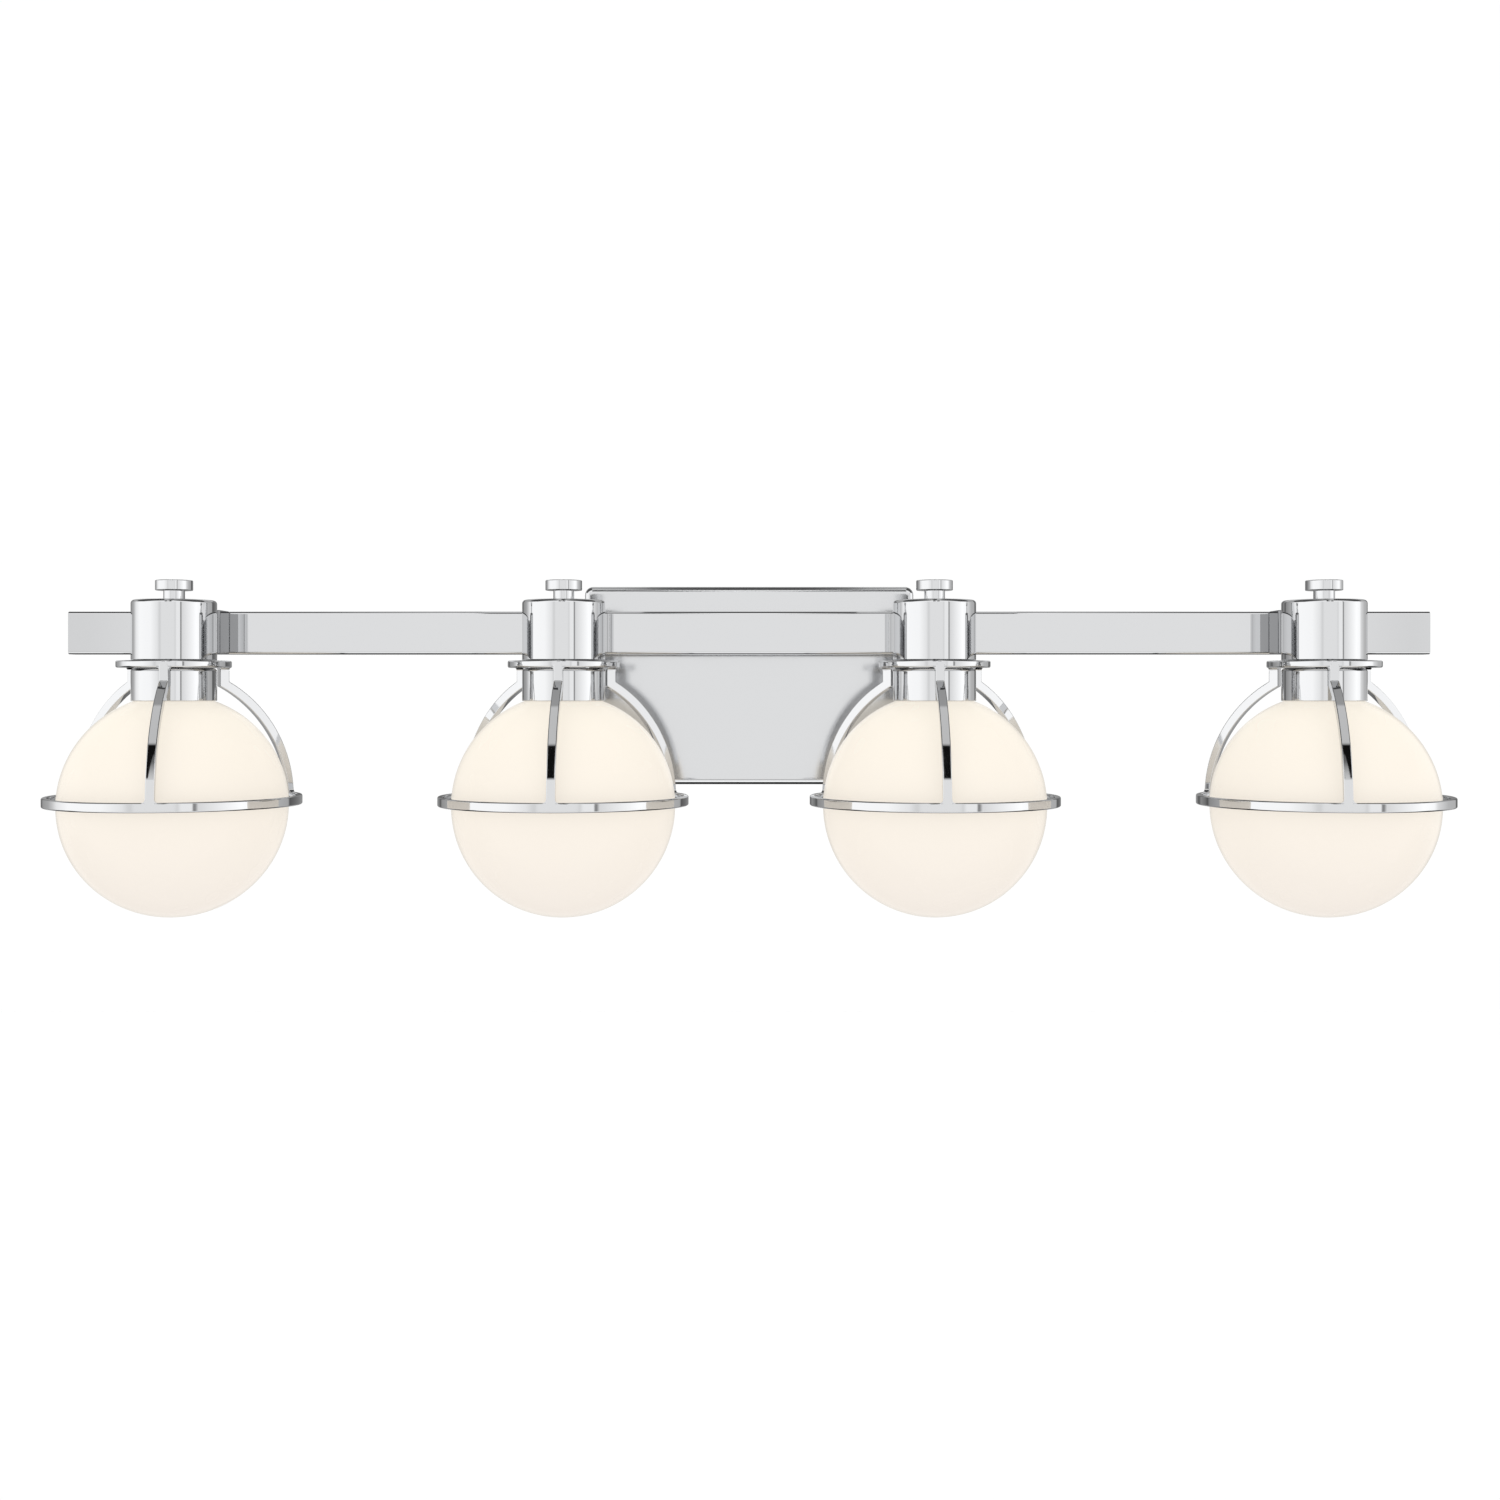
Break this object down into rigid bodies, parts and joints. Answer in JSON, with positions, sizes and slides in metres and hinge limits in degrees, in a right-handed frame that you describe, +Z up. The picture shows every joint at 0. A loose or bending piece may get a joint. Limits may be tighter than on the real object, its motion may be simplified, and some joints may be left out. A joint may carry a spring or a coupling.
{
  "type": "vanity light bar",
  "caption": "Wall vanity light bar: opal glass ball shades in ribbed chrome cages hang under round socket cups from a rectangular bar on a shallow wall pan.",
  "frame": {"origin": "middle of the wall bracket's back face, which lies on the wall", "axes": "+Z up, +X along the bar, +Y into the wall, so the lamps stand out towards -Y"},
  "size_m": [0.8088, 0.1698, 0.1942],
  "materials": {
    "chrome": "mirror-polished chrome plate",
    "opal_glass": "glossy outside, cased opal white, slightly warm",
    "frosted_glass": "satin frosted",
    "porcelain": "cream glaze",
    "silicone_rubber": "matt translucent grey",
    "zinc_steel": "bright zinc plate on pressed steel",
    "brass": "plain turned brass",
    "lead_sleeve": "black insulating sleeve",
    "ground_sleeve": "green insulation",
    "green_screw": "green dyed zinc plate",
    "terminal_plastic": "cream moulded nylon"
  },
  "bodies": {
    "fixture": {"wall_bracket": "zinc_steel", "backplate": "chrome", "ground_screw": "green_screw", "ground_lead": "ground_sleeve", "terminal_block": "terminal_plastic", "bar": "chrome", "side_screw_left": "chrome", "bar_end_cap_left": "chrome", "bar_post_left": "chrome", "post_nut_left": "brass", "side_screw_right": "chrome", "bar_end_cap_right": "chrome", "bar_post_right": "chrome", "post_nut_right": "brass", "arm_1": "chrome", "socket_cup_1": "chrome", "centre_rod_1": "zinc_steel", "cage_1": "chrome", "fitter_cup_1": "chrome", "socket_1": "porcelain", "lead_1": "lead_sleeve", "arm_2": "chrome", "socket_cup_2": "chrome", "centre_rod_2": "zinc_steel", "cage_2": "chrome", "fitter_cup_2": "chrome", "socket_2": "porcelain", "lead_2": "lead_sleeve", "arm_3": "chrome", "socket_cup_3": "chrome", "centre_rod_3": "zinc_steel", "cage_3": "chrome", "fitter_cup_3": "chrome", "socket_3": "porcelain", "lead_3": "lead_sleeve", "arm_4": "chrome", "socket_cup_4": "chrome", "centre_rod_4": "zinc_steel", "cage_4": "chrome", "fitter_cup_4": "chrome", "socket_4": "porcelain", "lead_4": "lead_sleeve"},
    "finial_1": {"finial_1": "chrome"},
    "bulb_1": {"bulb_1": "frosted_glass"},
    "globe_gasket_1": {"globe_gasket_1": "silicone_rubber"},
    "globe_1": {"globe_1": "opal_glass"},
    "finial_2": {"finial_2": "chrome"},
    "bulb_2": {"bulb_2": "frosted_glass"},
    "globe_gasket_2": {"globe_gasket_2": "silicone_rubber"},
    "globe_2": {"globe_2": "opal_glass"},
    "finial_3": {"finial_3": "chrome"},
    "bulb_3": {"bulb_3": "frosted_glass"},
    "globe_gasket_3": {"globe_gasket_3": "silicone_rubber"},
    "globe_3": {"globe_3": "opal_glass"},
    "finial_4": {"finial_4": "chrome"},
    "bulb_4": {"bulb_4": "frosted_glass"},
    "globe_gasket_4": {"globe_gasket_4": "silicone_rubber"},
    "globe_4": {"globe_4": "opal_glass"}
  },
  "joints": [
    {"name": "finial_1_unscrew", "type": "hinge", "parent": "fixture", "child": "finial_1", "pos_m": [-0.331, -0.098, 0.055], "axis": [0, 0, 1], "continuous": true},
    {"name": "bulb_1_unscrew", "type": "hinge", "parent": "fixture", "child": "bulb_1", "pos_m": [-0.331, -0.098, -0.02], "axis": [0, 0, 1], "continuous": true},
    {"name": "globe_1_lower", "type": "slide", "parent": "fixture", "child": "globe_gasket_1", "axis": [0, 0, -1], "range_m": [0, 0.15]},
    {"name": "globe_1_unscrew", "type": "hinge", "parent": "globe_gasket_1", "child": "globe_1", "pos_m": [-0.331, -0.098, -0.0694], "axis": [0, 0, 1], "continuous": true},
    {"name": "finial_2_unscrew", "type": "hinge", "parent": "fixture", "child": "finial_2", "pos_m": [-0.1067, -0.098, 0.055], "axis": [0, 0, 1], "continuous": true},
    {"name": "bulb_2_unscrew", "type": "hinge", "parent": "fixture", "child": "bulb_2", "pos_m": [-0.1067, -0.098, -0.02], "axis": [0, 0, 1], "continuous": true},
    {"name": "globe_2_lower", "type": "slide", "parent": "fixture", "child": "globe_gasket_2", "axis": [0, 0, -1], "range_m": [0, 0.15]},
    {"name": "globe_2_unscrew", "type": "hinge", "parent": "globe_gasket_2", "child": "globe_2", "pos_m": [-0.1067, -0.098, -0.0694], "axis": [0, 0, 1], "continuous": true},
    {"name": "finial_3_unscrew", "type": "hinge", "parent": "fixture", "child": "finial_3", "pos_m": [0.1067, -0.098, 0.055], "axis": [0, 0, 1], "continuous": true},
    {"name": "bulb_3_unscrew", "type": "hinge", "parent": "fixture", "child": "bulb_3", "pos_m": [0.1067, -0.098, -0.02], "axis": [0, 0, 1], "continuous": true},
    {"name": "globe_3_lower", "type": "slide", "parent": "fixture", "child": "globe_gasket_3", "axis": [0, 0, -1], "range_m": [0, 0.15]},
    {"name": "globe_3_unscrew", "type": "hinge", "parent": "globe_gasket_3", "child": "globe_3", "pos_m": [0.1067, -0.098, -0.0694], "axis": [0, 0, 1], "continuous": true},
    {"name": "finial_4_unscrew", "type": "hinge", "parent": "fixture", "child": "finial_4", "pos_m": [0.331, -0.098, 0.055], "axis": [0, 0, 1], "continuous": true},
    {"name": "bulb_4_unscrew", "type": "hinge", "parent": "fixture", "child": "bulb_4", "pos_m": [0.331, -0.098, -0.02], "axis": [0, 0, 1], "continuous": true},
    {"name": "globe_4_lower", "type": "slide", "parent": "fixture", "child": "globe_gasket_4", "axis": [0, 0, -1], "range_m": [0, 0.15]},
    {"name": "globe_4_unscrew", "type": "hinge", "parent": "globe_gasket_4", "child": "globe_4", "pos_m": [0.331, -0.098, -0.0694], "axis": [0, 0, 1], "continuous": true}
  ]
}
